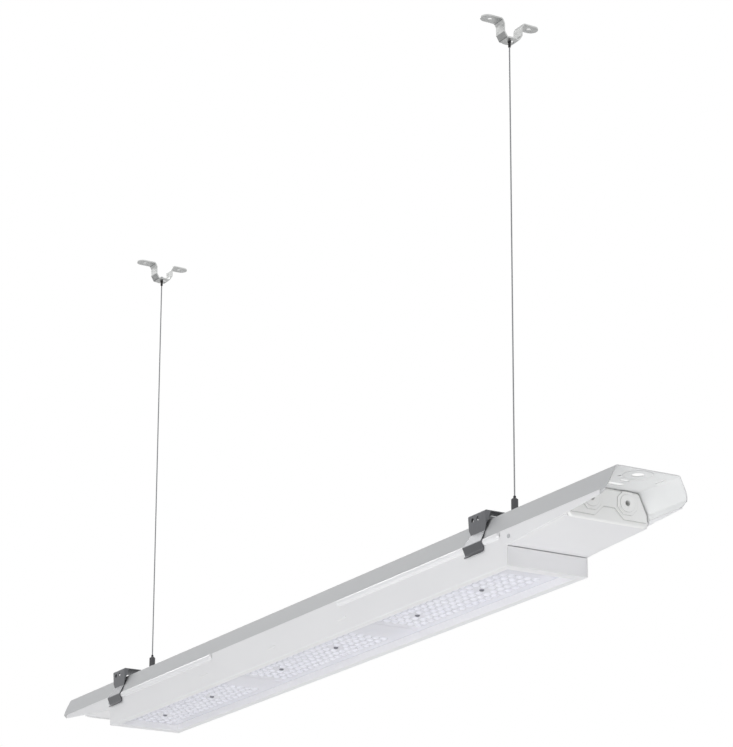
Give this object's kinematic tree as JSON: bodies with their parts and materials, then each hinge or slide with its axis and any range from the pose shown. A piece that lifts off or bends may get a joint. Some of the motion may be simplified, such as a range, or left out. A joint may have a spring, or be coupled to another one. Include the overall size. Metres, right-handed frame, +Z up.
{
  "type": "led linear light",
  "caption": "Linear LED light: a lacquered trunking rail and lens tray, hung from the ceiling on steel wires with clips, grippers and bent strap brackets.",
  "frame": {"origin": "on the ceiling plane, at the centre of the four screw holes of the ceiling brackets", "axes": "+Z up into the ceiling; +X along the light towards its near end in the picture, +Y across it, away from its left side in the picture"},
  "size_m": [1.5, 0.1302, 0.753],
  "materials": {
    "rail_lacquer": "satin",
    "tray_lacquer": "satin",
    "cap_plastic": "matte",
    "lens_acrylic": "clear, moulded",
    "board_solder_mask": "satin",
    "led_phosphor": "gloss",
    "gear_aluminium": "rolled",
    "driver_plastic": "matte",
    "terminal_plastic": "matte",
    "zinc_screws": "zinc-plated",
    "dark_screws": "zinc-plated",
    "rivet_aluminium": "satin",
    "clip_stainless": "rolled",
    "gripper_nickel": "turned",
    "plunger_steel": "turned",
    "steel_wire": "drawn",
    "ferrule_black": "matte",
    "stop_zinc": "cast",
    "bracket_galvanised": "galvanised"
  },
  "bodies": {
    "root": {"trunking_rail": "rail_lacquer", "tray_body": "tray_lacquer", "box_end_near": "tray_lacquer", "end_panel_near": "tray_lacquer", "end_cap_near": "cap_plastic", "box_end_far": "tray_lacquer", "end_panel_far": "tray_lacquer", "end_cap_far": "cap_plastic", "lens_plate_near": "lens_acrylic", "led_board_near": "board_solder_mask", "led_packages_near": "led_phosphor", "lens_plate_middle": "lens_acrylic", "led_board_middle": "board_solder_mask", "led_packages_middle": "led_phosphor", "lens_plate_far": "lens_acrylic", "led_board_far": "board_solder_mask", "led_packages_far": "led_phosphor", "gear_plate": "gear_aluminium", "led_driver": "driver_plastic", "terminal_block": "terminal_plastic", "gear_screws": "zinc_screws", "lens_screws": "dark_screws", "panel_rivets": "rivet_aluminium", "suspension_clip_near": "clip_stainless", "gripper_body_near": "gripper_nickel", "gripper_nut_near": "gripper_nickel", "gripper_plunger_near": "plunger_steel", "suspension_wire_near": "steel_wire", "wire_ferrule_near": "ferrule_black", "wire_stop_near": "stop_zinc", "ceiling_bracket_near": "bracket_galvanised", "suspension_clip_far": "clip_stainless", "gripper_body_far": "gripper_nickel", "gripper_nut_far": "gripper_nickel", "gripper_plunger_far": "plunger_steel", "suspension_wire_far": "steel_wire", "wire_ferrule_far": "ferrule_black", "wire_stop_far": "stop_zinc", "ceiling_bracket_far": "bracket_galvanised"}
  },
  "joints": []
}
